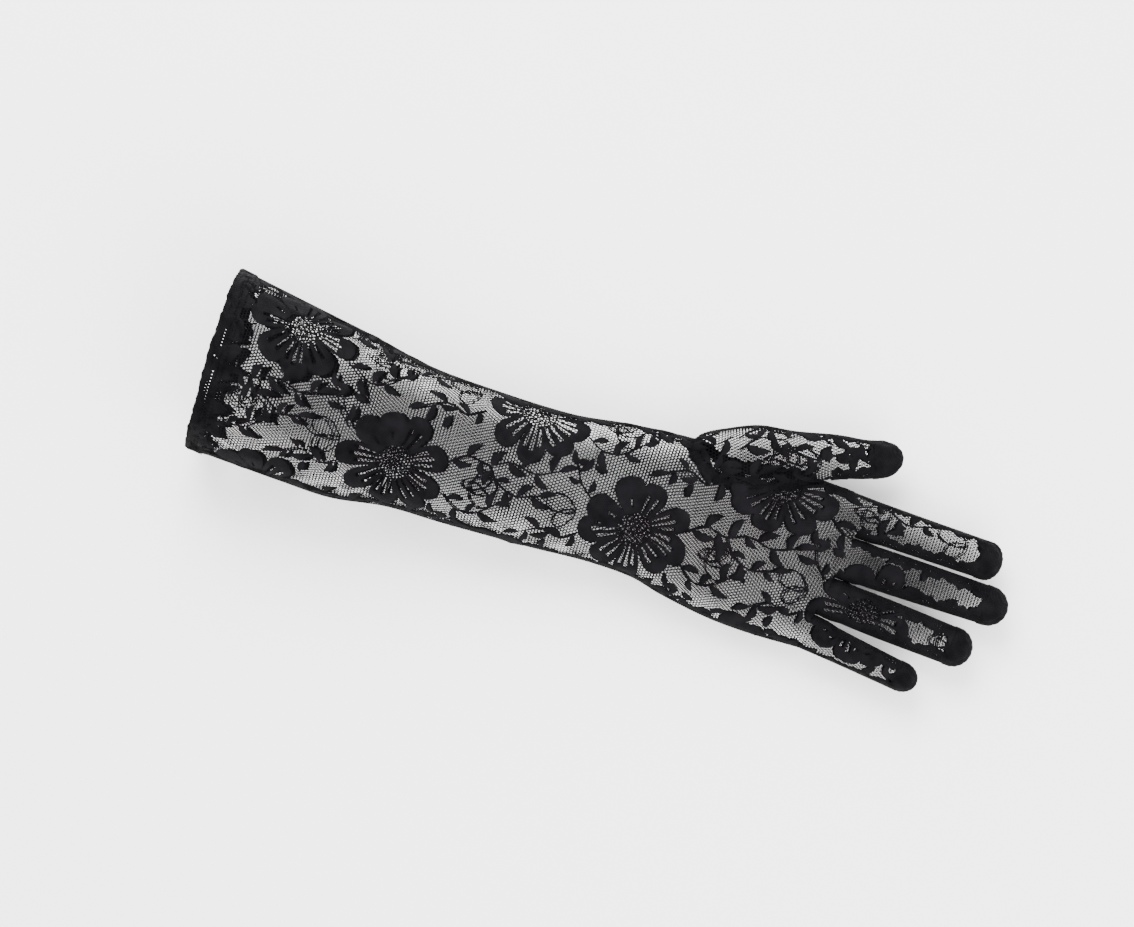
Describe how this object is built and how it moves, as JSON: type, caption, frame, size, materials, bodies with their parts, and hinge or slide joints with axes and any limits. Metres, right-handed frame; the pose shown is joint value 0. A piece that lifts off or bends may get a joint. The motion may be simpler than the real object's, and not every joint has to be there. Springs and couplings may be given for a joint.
{
  "type": "opera glove",
  "caption": "Elbow-length left-hand glove in sheer black floral stretch lace, shown as worn, with hem, side seams, set-in thumb and bending fingers.",
  "frame": {"origin": "on the table under the middle of the glove's outline, which lies with its palm up", "axes": "+X from the hem to the fingertips, +Y towards the thumb, +Z from the back of the hand to the palm"},
  "size_m": [0.4012, 0.1142, 0.0825],
  "materials": {
    "floral_lace": "matte black stretch lace, net ground with woven flowers and leaves",
    "fourchette_lace": "matte black stretch lace, denser than the panels",
    "edge_seam": "black overlocked and folded edge with a slight thread sheen"
  },
  "bodies": {
    "forearm": {"cuff_hem": "edge_seam", "sleeve_back_panel": "floral_lace", "sleeve_front_panel": "floral_lace", "sleeve_little_side_seam": "edge_seam", "sleeve_thumb_side_seam": "edge_seam"},
    "hand": {"hand_back_panel": "floral_lace", "hand_index_side_seam": "edge_seam", "hand_little_side_seam": "edge_seam", "hand_wrist_side_seam": "edge_seam", "palm_panel": "floral_lace", "thumb_ball_back": "floral_lace", "thumb_ball_front": "floral_lace", "thumb_ball_seam": "edge_seam", "thumb_hole_seam": "edge_seam"},
    "thumb_base": {"thumb_base_back": "floral_lace", "thumb_base_front": "floral_lace", "thumb_base_inner_strip": "edge_seam", "thumb_base_outer_strip": "edge_seam"},
    "thumb_tip": {"thumb_tip_back": "floral_lace", "thumb_tip_front": "floral_lace", "thumb_tip_seam": "edge_seam"},
    "index_base": {"index_base_back": "floral_lace", "index_base_front": "floral_lace", "index_base_inner_strip": "fourchette_lace", "index_base_outer_strip": "edge_seam"},
    "index_tip": {"index_tip_back": "floral_lace", "index_tip_front": "floral_lace", "index_tip_seam": "edge_seam"},
    "middle_base": {"middle_base_back": "floral_lace", "middle_base_front": "floral_lace", "middle_base_inner_strip": "fourchette_lace", "middle_base_outer_strip": "fourchette_lace"},
    "middle_tip": {"middle_tip_back": "floral_lace", "middle_tip_front": "floral_lace", "middle_tip_seam": "edge_seam"},
    "ring_base": {"ring_base_back": "floral_lace", "ring_base_front": "floral_lace", "ring_base_inner_strip": "fourchette_lace", "ring_base_outer_strip": "fourchette_lace"},
    "ring_tip": {"ring_tip_back": "floral_lace", "ring_tip_front": "floral_lace", "ring_tip_seam": "edge_seam"},
    "little_base": {"little_base_back": "floral_lace", "little_base_front": "floral_lace", "little_base_inner_strip": "edge_seam", "little_base_outer_strip": "fourchette_lace"},
    "little_tip": {"little_tip_back": "floral_lace", "little_tip_front": "floral_lace", "little_tip_seam": "edge_seam"}
  },
  "joints": [
    {"name": "wrist_bend", "type": "hinge", "parent": "forearm", "child": "hand", "pos_m": [-0.02865, -0.0094, 0.043], "axis": [0, -1, 0], "range_deg": [0, 45]},
    {"name": "thumb_root_bend", "type": "hinge", "parent": "hand", "child": "thumb_base", "pos_m": [0.1023, 0.03472, 0.02636], "axis": [0.1759, -0.6849, -0.7071], "range_deg": [0, 35]},
    {"name": "thumb_middle_bend", "type": "hinge", "parent": "thumb_base", "child": "thumb_tip", "pos_m": [0.11463, 0.03809, 0.02651], "axis": [0.1789, -0.6841, -0.7071], "range_deg": [0, 35]},
    {"name": "index_root_bend", "type": "hinge", "parent": "hand", "child": "index_base", "pos_m": [0.12144, 0.01767, 0.025], "axis": [-0.0314, -0.9995, 0], "range_deg": [0, 60]},
    {"name": "index_middle_bend", "type": "hinge", "parent": "index_base", "child": "index_tip", "pos_m": [0.14842, 0.01683, 0.02358], "axis": [-0.0314, -0.9995, 0], "range_deg": [0, 70]},
    {"name": "middle_root_bend", "type": "hinge", "parent": "hand", "child": "middle_base", "pos_m": [0.11746, -0.00323, 0.025], "axis": [-0.0209, -0.9998, 0], "range_deg": [0, 60]},
    {"name": "middle_middle_bend", "type": "hinge", "parent": "middle_base", "child": "middle_tip", "pos_m": [0.14846, -0.00388, 0.02355], "axis": [-0.0209, -0.9998, 0], "range_deg": [0, 70]},
    {"name": "ring_root_bend", "type": "hinge", "parent": "hand", "child": "ring_base", "pos_m": [0.11359, -0.0236, 0.025], "axis": [-0.075, -0.9972, 0], "range_deg": [0, 60]},
    {"name": "ring_middle_bend", "type": "hinge", "parent": "ring_base", "child": "ring_tip", "pos_m": [0.14152, -0.0257, 0.02353], "axis": [-0.075, -0.9972, 0], "range_deg": [0, 70]},
    {"name": "little_root_bend", "type": "hinge", "parent": "hand", "child": "little_base", "pos_m": [0.11003, -0.04234, 0.025], "axis": [-0.1478, -0.989, 0], "range_deg": [0, 60]},
    {"name": "little_middle_bend", "type": "hinge", "parent": "little_base", "child": "little_tip", "pos_m": [0.13179, -0.04559, 0.02354], "axis": [-0.1478, -0.989, 0], "range_deg": [0, 70]}
  ]
}
